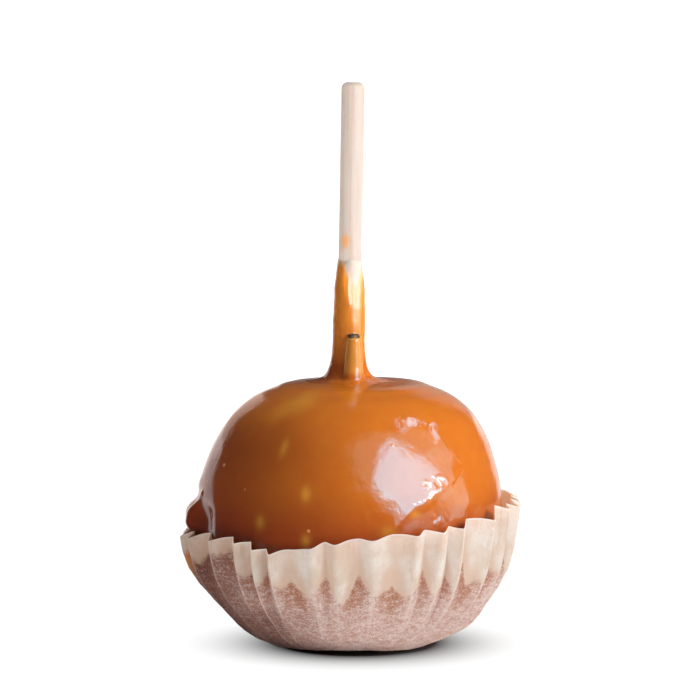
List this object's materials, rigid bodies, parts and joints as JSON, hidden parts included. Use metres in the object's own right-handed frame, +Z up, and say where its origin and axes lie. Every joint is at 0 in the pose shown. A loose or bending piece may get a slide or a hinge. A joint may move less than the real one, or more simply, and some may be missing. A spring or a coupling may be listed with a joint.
{
  "type": "caramel apple",
  "caption": "Apple dipped in glossy caramel on a round wooden stick, standing in a pleated paper cup.",
  "frame": {"origin": "centre of the paper cup's flat base, on the surface that it stands on", "axes": "+Z up along the stick, -Y towards the side that the picture shows, +X to that side's right"},
  "size_m": [0.088, 0.087, 0.1444],
  "materials": {
    "caramel": "wet gloss, slightly translucent amber-orange caramel",
    "stalk": "dark brown bark with a dry cut tip",
    "wood": "pale birch dowel, sanded, unvarnished",
    "paper": "matt translucent greaseproof paper, stained where the caramel soaks it"
  },
  "bodies": {
    "root": {"caramel_apple": "caramel", "apple_stalk": "stalk", "stick": "wood", "paper_cup": "paper"}
  },
  "joints": []
}
